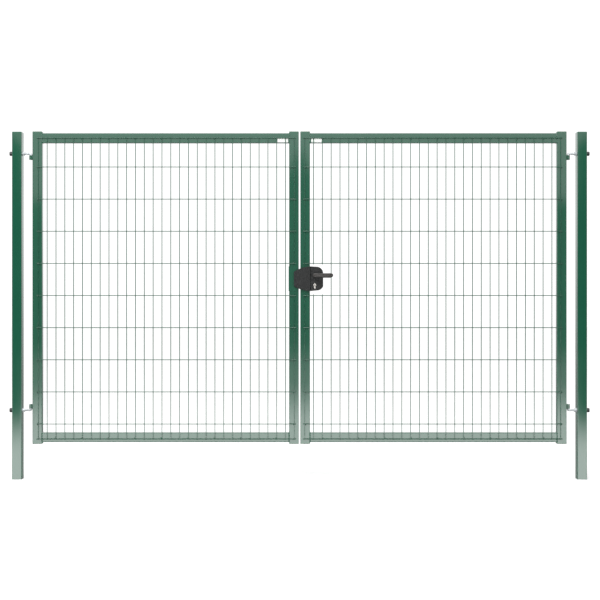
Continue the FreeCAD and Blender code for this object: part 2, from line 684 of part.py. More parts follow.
# ---- profile cylinder, plugs and cam --------------------------------------------------------
body = cylinder_profile(-cylinder_half, cylinder_half, 0)
bore = plug_radius + plug_running
body = body.cut(rod(bore, (spindle_x, -cylinder_half, cylinder_z), (spindle_x, cylinder_half, cylinder_z)))
slot_y = cam_slot_half
body = body.cut(rod(cam_radius + 0.4, (spindle_x, -slot_y, cylinder_z), (spindle_x, slot_y, cylinder_z)))
screw_end = spindle_x + 4.0
body = body.cut(rod(screw_radius, (spindle_x - 20, 0, cylinder_screw_z), (screw_end, 0, cylinder_screw_z)))
save("cylinder_body", body)
save("cylinder_screw", countersunk_x(leaf_near, 0, cylinder_screw_z, screw_end - leaf_near, screw_radius))
plugs = []
keyway_mid = cylinder_z - 1.0
for side in (-1, 1):
    plug_end = side * cylinder_half
    plug = rod(plug_radius, (spindle_x, side * cam_half, cylinder_z), (spindle_x, plug_end, cylinder_z))
    keyway = box(spindle_x - keyway_width / 2, spindle_x + keyway_width / 2, side * (cam_half + 4),
                 plug_end + side * wide, keyway_mid - keyway_height / 2, keyway_mid + keyway_height / 2)
    plugs.append(plug.cut(keyway))
save("cylinder_plugs", *plugs)
cam = rod(core_radius - 0.5, (spindle_x, -cam_half, cylinder_z), (spindle_x, cam_half, cylinder_z))
cam_tip = cylinder_z - cam_radius + 0.7
cam = cam.fuse(box(spindle_x - 3.5, spindle_x + 3.5, -cam_half, cam_half, cam_tip, cylinder_z))
save("cylinder_cam", cam.removeSplitter())

# ---- dead bolt ----------------------------------------------------------------------------------
half_turn_x = spindle_x + bolt_throw / 2.0
notch_top = cylinder_z + cam_radius + 0.8
dead_bolt = box(bolt_tip, bolt_tail, -bolt_thickness / 2, bolt_thickness / 2, bolt_low, bolt_top)
dead_bolt = dead_bolt.cut(box(half_turn_x - notch_width / 2, half_turn_x + notch_width / 2,
                              -bolt_thickness, bolt_thickness, bolt_low - wide, notch_top))
save("dead_bolt", dead_bolt)

# ---- latch bolt with its tail over the hub --------------------------------------------------
tail_right = case_left + case_wall + slot_clearance + latch_riser
tail_low = spindle_z + hub_radius + 4.0
tail_high = tail_low + 6.0
hook_left = spindle_x + lobe_radius + lobe_play
hook_right = hook_left + 5.0
side_y = lobe_half + 0.5
latch = box(latch_tip, tail_right, -latch_thickness / 2, latch_thickness / 2, latch_low, latch_high)
bevel_face = Part.Face(Part.makePolygon([
    Vec(latch_tip - wide, latch_thickness / 2 + wide, latch_low - wide),
    Vec(latch_tip + 10, latch_thickness / 2 + wide, latch_low - wide),
    Vec(latch_tip - wide, -latch_thickness / 2 + 2, latch_low - wide),
    Vec(latch_tip - wide, latch_thickness / 2 + wide, latch_low - wide)]))
latch = latch.cut(bevel_face.extrude(Vec(0, 0, latch_height + 2 * wide)))
riser_left = tail_right - latch_riser
tail_y = side_y + tail_thickness
latch = latch.fuse(box(riser_left, tail_right, -latch_thickness / 2, tail_y, latch_low, tail_high))
latch = latch.fuse(box(riser_left, hook_right, side_y, tail_y, tail_low, tail_high))
latch = latch.fuse(box(hook_left, hook_right, -lobe_half, tail_y, tail_low, tail_high + 3))
save("latch_bolt", latch.removeSplitter())

# ---- latch spring: round coil between the hook and the case's far wall ----------------------
spring_start = hook_right + spring_wire / 2.0 + spring_seat
spring_end = case_right - case_wall - spring_wire / 2.0 - spring_seat
spring_z = tail_low + 4.5
pitch = (spring_end - spring_start) / spring_turns
helix = Part.makeHelix(pitch, spring_end - spring_start, spring_radius)
section = Part.Wire(Part.Circle(Vec(spring_radius, 0, 0), Vec(0, 1, 0), spring_wire / 2.0).toShape())
spring = Part.Wire(helix).makePipeShell([section], True, True)
spring.rotate(Vec(0, 0, 0), Vec(0, 1, 0), 90)
spring.translate(Vec(spring_start, 0, spring_z))
save("latch_spring", Part.Solid(spring) if not spring.Solids else spring)

# ---- follower hub, spindle, levers and their grub screws ------------------------------------
hub = rod(hub_radius, (spindle_x, -hub_half, spindle_z), (spindle_x, hub_half, spindle_z))
hub = hub.fuse(rod(journal_radius, (spindle_x, -case_half, spindle_z), (spindle_x, case_half, spindle_z)))
lobe_z = spindle_z + hub_arm
hub = hub.fuse(rod(lobe_radius, (spindle_x, -lobe_half, lobe_z), (spindle_x, lobe_half, lobe_z)))
lobe_web = box(spindle_x - lobe_radius, spindle_x + lobe_radius, -lobe_half, lobe_half, spindle_z, lobe_z)
hub = hub.fuse(lobe_web)
half_square = spindle_square / 2.0
spindle_reach = lever_reach - lever_thickness - 20.0
spindle = box(spindle_x - half_square, spindle_x + half_square, -spindle_reach, spindle_reach,
              spindle_z - half_square, spindle_z + half_square)
save("follower_hub", hub.cut(spindle).removeSplitter())
save("spindle", spindle)


def lever_handle():
    """Rear lever: round neck on the spindle, then a flat rounded bar pointing away from the keep."""
    inner = lever_reach - lever_thickness
    tip = spindle_x + lever_length - lever_height / 2.0
    bar = rod(lever_root, (spindle_x, inner, spindle_z), (spindle_x, lever_reach, spindle_z))
    half = lever_height / 2.0
    bar = bar.fuse(box(spindle_x, tip, inner, lever_reach, spindle_z - half, spindle_z + half))
    bar = bar.fuse(rod(half, (tip, inner, spindle_z), (tip, lever_reach, spindle_z))).removeSplitter()
    rims = [e for e in bar.Edges if abs(e.BoundBox.YMax - e.BoundBox.YMin) < 0.01]
    bar = bar.makeFillet(3.0, rims)
    neck = rod(lever_neck, (spindle_x, case_half + 2, spindle_z), (spindle_x, lever_reach - 4, spindle_z))
    return bar.fuse(neck).cut(spindle).removeSplitter()


grub_y = lever_reach - lever_thickness - 26.0
grub_low = spindle_z - lever_neck
rear_lever = lever_handle()
grub_top = spindle_z - half_square
grub_hole = rod(screw_radius, (spindle_x, grub_y, grub_low - wide), (spindle_x, grub_y, grub_top))
rear_lever = rear_lever.cut(grub_hole)
grub = rod(screw_radius, (spindle_x, grub_y, grub_low + 0.5), (spindle_x, grub_y, grub_top))
save("rear_lever", rear_lever)
save("front_lever", rear_lever.mirror(Vec(0, 0, 0), Vec(0, 1, 0)))
save("lever_grub_screws", grub, grub.mirror(Vec(0, 0, 0), Vec(0, 1, 0)))

# ---- drop bolt behind the left meeting stile ---------------------------------------------------
lower_collar_z = lower_guide_z - stop_play / 2.0 - collar_height
bend_y = drop_y + drop_bend
straight = rod(drop_radius, (drop_x, drop_y, drop_tip_z), (drop_x, drop_y, drop_handle_z - drop_bend))
tip_edge = [e for e in straight.Edges if max(v.Z for v in e.Vertexes) < drop_tip_z + 0.01]
drop = straight.makeChamfer(2.0, tip_edge)
straight_top = drop_handle_z - drop_bend
eighth = drop_bend * math.sin(math.pi / 4)
elbow_path = Part.Wire([Part.Arc(Vec(drop_x, drop_y, straight_top),
                                 Vec(drop_x, bend_y - eighth, straight_top + eighth),
                                 Vec(drop_x, bend_y, drop_handle_z)).toShape()])
elbow_ring = Part.Wire(Part.Circle(Vec(drop_x, drop_y, straight_top), Vec(0, 0, 1), drop_radius).toShape())
elbow = elbow_path.makePipeShell([elbow_ring], True, True)
handle_end = drop_handle_y - 2.0
drop = drop.fuse(elbow)
drop = drop.fuse(rod(drop_radius, (drop_x, bend_y, drop_handle_z), (drop_x, handle_end, drop_handle_z)))
for z in (lower_collar_z, upper_collar_z):
    drop = drop.fuse(rod(collar_radius, (drop_x, drop_y, z), (drop_x, drop_y, z + collar_height)))
save("drop_bolt_rod", drop.removeSplitter())
grip = rod(drop_radius + 3, (drop_x, bend_y + 1, drop_handle_z), (drop_x, drop_handle_y, drop_handle_z))
grip = grip.makeFillet(2.0, [e for e in grip.Edges if min(v.Y for v in e.Vertexes) > drop_handle_y - 0.01])
grip_bore = drop_radius + bore_clearance
grip = grip.cut(rod(grip_bore, (drop_x, bend_y, drop_handle_z), (drop_x, handle_end, drop_handle_z)))
save("drop_bolt_grip", grip)
guides = []
for z in (lower_guide_z, upper_guide_z):
    block = rod(drop_radius + guide_wall, (drop_x, drop_y, z), (drop_x, drop_y, z + guide_length))
    block = block.fuse(box(drop_x - 9, drop_x + 9, half_depth, drop_y, z, z + guide_length))
    bore = rod(drop_radius + guide_running, (drop_x, drop_y, z), (drop_x, drop_y, z + guide_length))
    block = block.cut(bore)
    guides.append(block.removeSplitter())
save("drop_bolt_guides", *guides)
clip_inner = drop_radius + 0.2
clip = rod(clip_inner + clip_thickness, (drop_x, drop_y, clip_z), (drop_x, drop_y, clip_z + clip_height))
clip = clip.fuse(box(drop_x - 6, drop_x + 6, half_depth, drop_y, clip_z, clip_z + clip_height))
clip = clip.cut(rod(clip_inner, (drop_x, drop_y, clip_z), (drop_x, drop_y, clip_z + clip_height)))
clip = clip.cut(box(drop_x - 5, drop_x + 5, drop_y, drop_y + 20, clip_z - 1, clip_z + clip_height + 1))
save("drop_bolt_clip", clip.removeSplitter())
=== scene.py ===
"""Two-leaf mesh gate with lever lock and drop bolt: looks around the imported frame.

Metres. X runs along the gate, Y runs away from the front, Z is up from the post feet.
"""
import bmesh
import bpy
import numpy as np
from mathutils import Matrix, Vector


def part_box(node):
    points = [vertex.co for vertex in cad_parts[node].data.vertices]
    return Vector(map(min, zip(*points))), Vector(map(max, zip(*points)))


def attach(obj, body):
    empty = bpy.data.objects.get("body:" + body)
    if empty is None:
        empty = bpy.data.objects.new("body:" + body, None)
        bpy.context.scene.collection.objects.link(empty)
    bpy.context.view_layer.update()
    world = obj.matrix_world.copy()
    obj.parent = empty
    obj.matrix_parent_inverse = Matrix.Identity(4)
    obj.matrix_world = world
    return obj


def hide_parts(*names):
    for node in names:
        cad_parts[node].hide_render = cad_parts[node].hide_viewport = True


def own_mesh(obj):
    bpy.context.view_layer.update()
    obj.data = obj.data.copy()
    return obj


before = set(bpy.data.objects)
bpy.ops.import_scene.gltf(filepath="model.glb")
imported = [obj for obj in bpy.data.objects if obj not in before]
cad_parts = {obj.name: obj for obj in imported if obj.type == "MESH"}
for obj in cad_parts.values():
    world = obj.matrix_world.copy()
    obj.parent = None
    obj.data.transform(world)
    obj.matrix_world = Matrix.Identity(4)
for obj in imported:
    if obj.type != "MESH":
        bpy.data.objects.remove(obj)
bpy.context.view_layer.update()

# ---- camera ---------------------------------------------------------------------------------
# Level camera at breast height, seven metres in front of the gate, with a medium long lens, so
# that the uprights stay upright and both leaves fill the frame.
camera_data = bpy.data.cameras.new("camera")
camera_data.lens = 67.21
camera_data.sensor_width = 36.0
camera = bpy.data.objects.new("camera", camera_data)
camera.location = (0.0029, -7.0, 1.117)
camera.rotation_euler = (np.pi / 2.0, 0.0, 0.0)
bpy.context.scene.collection.objects.link(camera)
bpy.context.scene.camera = camera
bpy.context.scene.view_settings.view_transform = "Standard"

# ---- studio: floor, light tent and soft box ---------------------------------------------------
# White matt floor and a white tent all round, as for a catalogue picture. The tent is dimmer at
# eye level, and has a bright strip low down and a brighter roof, which the gloss paint mirrors.
# Aside and height below are slopes: shift or rise for each metre of depth in front of the gate.


def add(tree, kind, sockets=None, **settings):
    """Adds one shader node: settings are its own attributes, sockets are values or links."""
    node = tree.nodes.new("ShaderNode" + kind)
    for name, value in settings.items():
        setattr(node, name, value)
    for socket, value in (sockets or {}).items():
        if isinstance(value, bpy.types.NodeSocket):
            tree.links.new(value, node.inputs[socket])
        else:
            node.inputs[socket].default_value = value
    return node


tent_seen = 1.12            # what the camera sees behind the gate
tent_even = 1.1             # what lights the matt part of every surface
tent_eye_level = 0.5        # what gloss paint mirrors straight ahead
tent_wing_eye_level = 0.1   # the same, out at the wings
tent_strip = 5.7            # added by the low strip
tent_wing_strip = 8.6       # the same, out at the wings
tent_haze = 1.5             # added by the glow over the strip
tent_wing_haze = 0.12       # the same, out at the wings
tent_roof = 2.0             # added by the roof
tent_behind = 1.05          # what gloss paint mirrors when it is seen edge on
tent_behind_low = 0.55      # the same, looking down, as under the top rails
tent_behind_high = 1.6      # the same, looking up, as on top of the lower rails
world = bpy.data.worlds.new("light_tent")
bpy.context.scene.world = world
world.use_nodes = True
tent = world.node_tree
tent.nodes.clear()
wing_from, wing_full = 0.2425, 0.2455       # aside where the posts' part of the tent begins
stile_near, stile_far = 0.001, 0.0095       # aside of a meeting stile's two edges
post_near, post_far = 0.249, 0.258          # aside of a post's two edges
direction = add(tent, "TexCoord").outputs["Generated"]
slope = add(tent, "SeparateXYZ", {0: direction}).outputs
aside = add(tent, "Math", {0: slope[0], 1: slope[1]}, operation="DIVIDE").outputs[0]
aside = add(tent, "Math", {0: aside}, operation="ABSOLUTE").outputs[0]
depth = add(tent, "Math", {0: slope[1]}, operation="ABSOLUTE").outputs[0]
height = add(tent, "Math", {0: slope[2], 1: depth}, operation="DIVIDE").outputs[0]
wing = add(tent, "MapRange", {0: aside, 1: wing_from, 2: wing_full}).outputs[0]
near_dip = add(tent, "MapRange", {0: aside, 1: stile_near, 2: stile_far, 3: 0.130, 4: 0.110}).outputs[0]
far_dip = add(tent, "MapRange", {0: aside, 1: stile_far, 2: 0.235, 3: 0.0, 4: -0.026}).outputs[0]
wing_edge = add(tent, "MapRange", {0: aside, 1: post_near, 2: post_far, 3: 0.134, 4: 0.143}).outputs[0]
middle_edge = add(tent, "Math", {0: near_dip, 1: far_dip}, operation="ADD").outputs[0]
roof_low = add(tent, "Mix", {0: wing, 2: middle_edge, 3: wing_edge}).outputs[0]
roof_full = add(tent, "Math", {0: roof_low, 1: 0.010}, operation="ADD").outputs[0]
roof = add(tent, "MapRange", {0: height, 1: roof_low, 2: roof_full, 3: 0.0, 4: tent_roof},
           interpolation_type="SMOOTHSTEP").outputs[0]
eye_level = add(tent, "MapRange", {0: wing, 3: tent_eye_level, 4: tent_wing_eye_level}).outputs[0]
strip_top = add(tent, "MapRange", {0: wing, 3: -0.070, 4: -0.095}).outputs[0]
strip_full = add(tent, "MapRange", {0: wing, 3: -0.112, 4: -0.137}).outputs[0]
strip_level = add(tent, "MapRange", {0: wing, 3: tent_strip, 4: tent_wing_strip}).outputs[0]
strip = add(tent, "MapRange", {0: height, 1: strip_top, 2: strip_full, 3: 0.0, 4: strip_level},
            interpolation_type="SMOOTHSTEP").outputs[0]
haze = add(tent, "MapRange", {0: wing, 3: tent_haze, 4: tent_wing_haze}).outputs[0]
haze = add(tent, "MapRange", {0: height, 1: -0.040, 2: -0.060, 3: 0.0, 4: haze}).outputs[0]
strip = add(tent, "Math", {0: strip, 1: haze}, operation="ADD").outputs[0]
strip_end = add(tent, "MapRange", {0: height, 1: -0.20, 2: -0.27, 3: 1.0, 4: 0.0},
                interpolation_type="SMOOTHSTEP").outputs[0]
strip = add(tent, "Math", {0: strip, 1: strip_end}, operation="MULTIPLY").outputs[0]
ahead = add(tent, "Math", {0: strip, 1: roof}, operation="ADD").outputs[0]
ahead = add(tent, "Math", {0: ahead, 1: eye_level}, operation="ADD").outputs[0]
below = add(tent, "MapRange", {0: slope[2], 1: -0.08, 2: 0.0, 3: tent_behind_low, 4: tent_behind})
behind = add(tent, "MapRange", {0: slope[2], 1: 0.0, 2: 0.08, 3: below.outputs[0],
                                4: tent_behind_high}).outputs[0]
edge_on = add(tent, "MapRange", {0: slope[1], 1: -0.1, 2: 0.3, 3: 0.0, 4: 1.0}).outputs[0]
mirrored = add(tent, "Mix", {0: edge_on, 2: ahead, 3: behind}).outputs[0]
ray = add(tent, "LightPath").outputs
lit = add(tent, "Mix", {0: ray["Is Glossy Ray"], 2: tent_even, 3: mirrored}).outputs[0]
strength = add(tent, "Mix", {0: ray["Is Camera Ray"], 2: lit, 3: tent_seen}).outputs[0]
background = add(tent, "Background", {0: (1.0, 1.0, 1.0, 1.0), 1: strength})
add(tent, "OutputWorld", {0: background.outputs[0]})

soft_box_data = bpy.data.lights.new("soft_box", "AREA")
soft_box_data.shape = "RECTANGLE"
soft_box_data.size = 5.0
soft_box_data.size_y = 2.5
soft_box_data.energy = 260.0
soft_box = bpy.data.objects.new("soft_box", soft_box_data)
soft_box.location = (-1.5, -4.0, 5.2)
soft_box.rotation_euler = (np.radians(42.0), 0.0, np.radians(-14.0))
bpy.context.scene.collection.objects.link(soft_box)


def linear(colour):
    """Linear RGBA from an sRGB hex colour: the low end is a straight line, the rest a power."""
    value = np.array([int(colour[i:i + 2], 16) for i in (1, 3, 5)]) / 255.0
    value = np.where(value <= 0.04045, value / 12.92, ((value + 0.055) / 1.055) ** 2.4)
    return (*value.tolist(), 1.0)


def mesh_piece(name, points, faces, material, smooth=True):
    """One object at the origin from an array of points and an array of faces."""
    mesh = bpy.data.meshes.new(name)
    mesh.from_pydata(points.tolist(), [], faces.tolist())
    mesh.polygons.foreach_set("use_smooth", np.full(len(mesh.polygons), smooth))
    mesh.materials.append(material)
    piece = bpy.data.objects.new(name, mesh)
    bpy.context.scene.collection.objects.link(piece)
    return piece


floor_reach = 40.0
floor_paint = bpy.data.materials.new("matt_white_floor")
floor_paint.use_nodes = True
floor_paint.node_tree.nodes.clear()
floor_matt = add(floor_paint.node_tree, "BsdfDiffuse", {0: linear("#FAFAFA")})
add(floor_paint.node_tree, "OutputMaterial", {0: floor_matt.outputs[0]})
floor_corners = np.array([[-1, -1, 0], [1, -1, 0], [1, 1, 0], [-1, 1, 0]]) * floor_reach
floor = mesh_piece("floor", floor_corners, np.array([[0, 1, 2, 3]]), floor_paint, smooth=False)
floor.visible_glossy = False

# ---- posts, stiles and rails ------------------------------------------------------------------
# Square and rectangular steel tube, cut, welded and hung in a powder oven: moss-green polyester
# powder, full gloss. The cured coat has an orange peel a few millimetres across.


def surface(name, look):
    """A material with a Principled shader; look is that shader's plain socket values."""
    material = bpy.data.materials.new(name)
    material.use_nodes = True
    tree = material.node_tree
    tree.nodes.clear()
    shader = add(tree, "BsdfPrincipled", look)
    add(tree, "OutputMaterial", {0: shader.outputs[0]})
    place = add(tree, "TexCoord").outputs["Object"]
    return material, tree, shader, place


def grain(tree, place, size, detail=2.0, roughness=0.5):
    """Noise whose lumps are about size metres across, on Object coordinates."""
    return add(tree, "TexNoise", {"Vector": place, "Scale": 1.0 / size, "Detail": detail,
                                  "Roughness": roughness}).outputs[0]


def powder_coat(name, deep, pale, look, peel_size, peel_height, cloud_size=0.35):
    """Powder coat: colour drifts between deep and pale over cloud_size, and the cured film has
    lumps peel_size across and peel_height high. The eye sees a slightly rippled reflection."""
    material, tree, shader, place = surface(name, look)
    drift = grain(tree, place, cloud_size)
    tint = add(tree, "Mix", {0: drift, 6: linear(deep), 7: linear(pale)}, data_type="RGBA")
    tree.links.new(tint.outputs[2], shader.inputs["Base Color"])
    peel = grain(tree, place, peel_size, detail=1.0)
    bump = add(tree, "Bump", {"Strength": 1.0, "Distance": peel_height, "Height": peel})
    tree.links.new(bump.outputs[0], shader.inputs["Normal"])
    return material


def finish(nodes, material):
    """Gives CAD nodes a material in their own slots."""
    for node in nodes:
        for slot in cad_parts[node].material_slots:
            slot.material = material


gloss = {"Roughness": 0.05, "IOR": 1.5}
green_powder = powder_coat("polyester_powder_coat_moss_green", "#0E4431", "#154A37", gloss,
                           peel_size=0.004, peel_height=0.000004)
sides = ("left", "right")
tubes = ["left_post", "right_post"]
for side in sides:
    tubes += [side + "_hinge_stile", side + "_meeting_stile", side + "_top_rail", side + "_bottom_rail"]
finish(tubes, green_powder)

# ---- weld beads where a rail meets a stile ------------------------------------------------------
# Arc weld run right round the end of each rail, laid in overlapping beads about 2.5 mm apart and
# coated with the frame. Flush faces get a low flat bead, so the tube reads as one frame.


def ring_faces(rings, around, closed_rings=False):
    """Quads of a grid of rings x around points, wrapped round; rings also close up if asked."""
    last = rings if closed_rings else rings - 1
    i, j = np.meshgrid(np.arange(last), np.arange(around), indexing="ij")
    i2, j2 = (i + 1) % rings, (j + 1) % around
    corners = (i * around + j, i * around + j2, i2 * around + j2, i2 * around + j)
    return np.stack(corners, axis=-1).reshape(-1, 4)


def rounded_rectangle(half_y, half_z, corner, count):
    """Points and outward directions evenly spaced round a rectangle with rounded corners: four
    quarter arcs joined by straight runs, resampled by distance along the outline."""
    turn = np.linspace(0.0, np.pi / 2.0, 7)
    angles = np.concatenate([turn + quarter * np.pi / 2.0 for quarter in range(4)])
    out = np.stack([np.cos(angles), np.sin(angles)], axis=1)
    sign = np.repeat([[1, 1], [-1, 1], [-1, -1], [1, -1]], len(turn), axis=0)
    outline = sign * [half_y - corner, half_z - corner] + out * corner
    outline = np.vstack([outline, outline[:1]])
    out = np.vstack([out, out[:1]])
    travelled = np.concatenate([[0.0], np.cumsum(np.linalg.norm(np.diff(outline, axis=0), axis=1))])
    at = np.linspace(0.0, travelled[-1], count, endpoint=False)
    spot = np.stack([np.interp(at, travelled, outline[:, k]) for k in (0, 1)], axis=1)
    way = np.stack([np.interp(at, travelled, out[:, k]) for k in (0, 1)], axis=1)
    return spot, way / np.linalg.norm(way, axis=1, keepdims=True), at


def joint_bead(x, centre_z, half_y, half_z, corner):
    """Bead round a tube end at x: an ellipse carried round the tube's outline, its height
    swelling and falling with the distance travelled, as overlapping drops do."""
    wide, high, drop = 0.0036, 0.0011, 0.0025
    steps, around = 420, 8
    spot, way, travelled = rounded_rectangle(half_y, half_z, corner, steps)
    swell = 0.75 + 0.25 * np.abs(np.sin(np.pi * travelled / drop))
    turn = np.linspace(0.0, 2.0 * np.pi, around, endpoint=False)
    rise = high * swell[:, None] * np.cos(turn)
    across = np.broadcast_to(wide * np.sin(turn), rise.shape)
    flat = spot[:, None, :] + way[:, None, :] * rise[:, :, None]
    points = np.stack([x + across, flat[:, :, 0], centre_z + flat[:, :, 1]], axis=-1)
    return points.reshape(-1, 3), ring_faces(steps, around, closed_rings=True)


def gather(shapes):
    """Joins lists of points and faces into one, face numbers shifted past the earlier points."""
    points, faces = zip(*shapes)
    starts = np.cumsum([0] + [len(some) for some in points[:-1]])
    return np.vstack(points), np.vstack([some + start for some, start in zip(faces, starts)])


def turned_out(piece):
    """Closes a piece's poles by merging the points that meet there, then turns every face out."""
    shell = bmesh.new()
    shell.from_mesh(piece.data)
    bmesh.ops.remove_doubles(shell, verts=shell.verts, dist=0.000001)
    bmesh.ops.recalc_face_normals(shell, faces=shell.faces)
    shell.to_mesh(piece.data)
    shell.free()
    return piece


def middle_and_half(node):
    """Middle and half size of a CAD node's box."""
    low, high = (np.array(corner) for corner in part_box(node))
    return (low + high) / 2.0, (high - low) / 2.0


tube_corner = 0.004
for side in sides:
    beads = []
    for rail in ("_top_rail", "_bottom_rail"):
        middle, half = middle_and_half(side + rail)
        for end in (-1, 1):
            beads.append(joint_bead(middle[0] + end * half[0], middle[2], half[1], half[2], tube_corner))
    piece = turned_out(mesh_piece(side + "_frame_welds", *gather(beads), green_powder))
    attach(piece, side + "_leaf")

# ---- hinge bushes and their welds ---------------------------------------------------------------
# Turned steel bushes, each held to the stile by an upright fillet weld in front and one behind,
# coated with the leaf.


def upright_bead(x, y, low_z, high_z, radius):
    """Short fillet weld: a round section carried up a line, closing to a point at both ends,
    its radius rippling as the beads overlap."""
    drop, steps, around = 0.0028, 64, 10
    along = np.linspace(0.0, 1.0, steps)
    ends = np.sqrt(np.clip(1.0 - (2.0 * along - 1.0) ** 8, 0.0, 1.0))
    ripple = 0.85 + 0.15 * np.abs(np.sin(np.pi * along * (high_z - low_z) / drop))
    size = (radius * ends * ripple)[:, None]
    turn = np.linspace(0.0, 2.0 * np.pi, around, endpoint=False)
    z = np.broadcast_to((low_z + (high_z - low_z) * along)[:, None], (steps, around))
    points = np.stack([x + size * np.cos(turn), y + size * np.sin(turn), z], axis=-1)
    return points.reshape(-1, 3), ring_faces(steps, around)


weld_radius = 0.0032
weld_off = 0.0085           # bead's line in front of the bush's axis, where the bush leaves the stile
weld_sunk = 0.9             # share of the bead's radius that stands clear of the stile
weld_short = 0.001          # bead stops short of each end of its bush
bush_length = 0.026
finish([side + "_hinge_bushes" for side in sides], green_powder)
for side in sides:
    middle, half = middle_and_half(side + "_hinge_bushes")
    towards_stile = -np.sign(middle[0]) * (half[0] - weld_radius * weld_sunk)
    beads = []
    for low_z in (middle[2] - half[2], middle[2] + half[2] - bush_length):
        for y in (-weld_off, weld_off):
            beads.append(upright_bead(middle[0] + towards_stile, y, low_z + weld_short,
                                      low_z + bush_length - weld_short, weld_radius))
    piece = turned_out(mesh_piece(side + "_bush_welds", *gather(beads), green_powder))
    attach(piece, side + "_leaf")

# ---- post caps and stile caps -------------------------------------------------------------------
# Injection-moulded polypropylene caps pushed into the tube ends: a grey green that is a shade off
# the paint, with the fine spark-eroded texture of the mould.


def moulded(name, deep, pale, roughness, texture_size, texture_height):
    """Moulded plastic: an even colour with a faint flow mottle, and the mould's fine texture,
    which gives the eye a soft broken sheen."""
    material, tree, shader, place = surface(name, {"Roughness": roughness, "IOR": 1.49})
    flow = grain(tree, place, 0.02)
    tint = add(tree, "Mix", {0: flow, 6: linear(deep), 7: linear(pale)}, data_type="RGBA")
    tree.links.new(tint.outputs[2], shader.inputs["Base Color"])
    texture = grain(tree, place, texture_size, detail=3.0, roughness=0.7)
    bump = add(tree, "Bump", {"Strength": 1.0, "Distance": texture_height, "Height": texture})
    tree.links.new(bump.outputs[0], shader.inputs["Normal"])
    return material


post_cap_plastic = moulded("moulded_polypropylene_moss_green", "#18503B", "#1D5540", 0.3, 0.0009, 0.00002)
stile_cap_plastic = moulded("moulded_polypropylene_grey_green", "#47604F", "#4C6655", 0.42, 0.0009, 0.00003)
finish(["left_post_cap", "right_post_cap"], post_cap_plastic)
stile_caps = [side + end for side in sides for end in ("_stile_top_caps", "_stile_bottom_caps")]
finish(stile_caps, stile_cap_plastic)

# ---- mesh wires ---------------------------------------------------------------------------------
# Welded-wire infill: galvanised steel wire, 5 mm, coated with the same green powder, which goes
# on thinner over a wire than over a flat.
thin_coat = {"Roughness": 0.12, "IOR": 1.5}
wire_powder = powder_coat("polyester_powder_coat_on_wire", "#0E4431", "#154A37", thin_coat,
                          peel_size=0.003, peel_height=0.00001)
wires = [side + kind for side in sides for kind in ("_mesh_uprights", "_mesh_line_wires")]
finish(wires, wire_powder)

# ---- resistance welds where the wires cross -------------------------------------------------------
# Each crossing is squeezed and fused in a welding press, which leaves a small lens of steel
# between the two wires. The mat is then tacked to the rails beside some uprights, and to the
# stiles beside the end uprights, with short arc welds.
wire_radius = 0.0025
upright_pitch = 0.055
line_wire_pitch = 0.2
first_line_wire = 0.125     # above the stiles' feet
tacked_uprights = [2, 6, 9, 12, 15, 18, 21, 24, 27]
lens_size = (0.0033, 0.0013, 0.0033)
lens_around = 8
tack_size = (0.0034, 0.0030, 0.0055)
tack_off = 0.0042
tack_y = -0.0205


def lens(centres, size):
    """Lens at each centre: circles of latitude of a sphere about the Y axis, squeezed to the half
    sizes given and closed at its poles, repeated over the whole array of centres at once."""
    latitude = np.linspace(-np.pi / 2.0, np.pi / 2.0, 5)
    turn = np.linspace(0.0, 2.0 * np.pi, lens_around, endpoint=False)
    reach = np.cos(latitude)[:, None]
    y = np.broadcast_to(np.sin(latitude)[:, None], (len(latitude), lens_around))
    one = np.stack([reach * np.cos(turn), y, reach * np.sin(turn)], axis=-1).reshape(-1, 3) * size
    points = (centres[:, None, :] + one[None, :, :]).reshape(-1, 3)
    quads = ring_faces(len(latitude), lens_around)
    shift = np.arange(len(centres))[:, None, None] * len(one)
    return points, (quads[None, :, :] + shift).reshape(-1, 4)


for side in sides:
    out = -1.0 if side == "left" else 1.0
    uprights_low, uprights_high = (np.array(corner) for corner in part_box(side + "_mesh_uprights"))
    lines_low, lines_high = (np.array(corner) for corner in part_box(side + "_mesh_line_wires"))
    near = min(abs(uprights_low[0]), abs(uprights_high[0])) + wire_radius
    far = max(abs(uprights_low[0]), abs(uprights_high[0])) - wire_radius
    upright_x = np.arange(near, far + upright_pitch / 2.0, upright_pitch)
    lowest = lines_low[2] + wire_radius
    highest = lines_high[2] - wire_radius
    stile_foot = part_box(side + "_stile_bottom_caps")[0][2]
    line_z = np.arange(stile_foot + first_line_wire, highest - line_wire_pitch / 2.0, line_wire_pitch)
    line_z = np.concatenate([[lowest], line_z, [highest]])
    contact_y = (uprights_low[1] + lines_high[1]) / 2.0
    x, z = np.meshgrid(upright_x, line_z)
    crossings = np.stack([out * x.ravel(), np.full(x.size, contact_y), z.ravel()], axis=1)
    piece = turned_out(mesh_piece(side + "_wire_welds", *lens(crossings, lens_size), wire_powder))
    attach(piece, side + "_leaf")
    beside = out * (upright_x[tacked_uprights] + tack_off)
    x, z = np.meshgrid(beside, [lowest + tack_off + wire_radius, highest - tack_off - wire_radius])
    on_rails = np.stack([x.ravel(), np.full(x.size, tack_y), z.ravel()], axis=1)
    x, z = np.meshgrid(out * (upright_x[[0, -1]] + tack_off), line_z[1:-1] - tack_off)
    on_stiles = np.stack([x.ravel(), np.full(x.size, tack_y), z.ravel()], axis=1)
    tacks = lens(np.vstack([on_rails, on_stiles]), tack_size)
    piece = turned_out(mesh_piece(side + "_mesh_tacks", *tacks, green_powder))
    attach(piece, side + "_leaf")

# ---- hinge hardware -----------------------------------------------------------------------------
# Hot-dip galvanised hinge bolts, washers and nuts: dull blue-grey zinc with a faint mottle. Black
# polyethylene caps cover the outer nuts and rod ends.


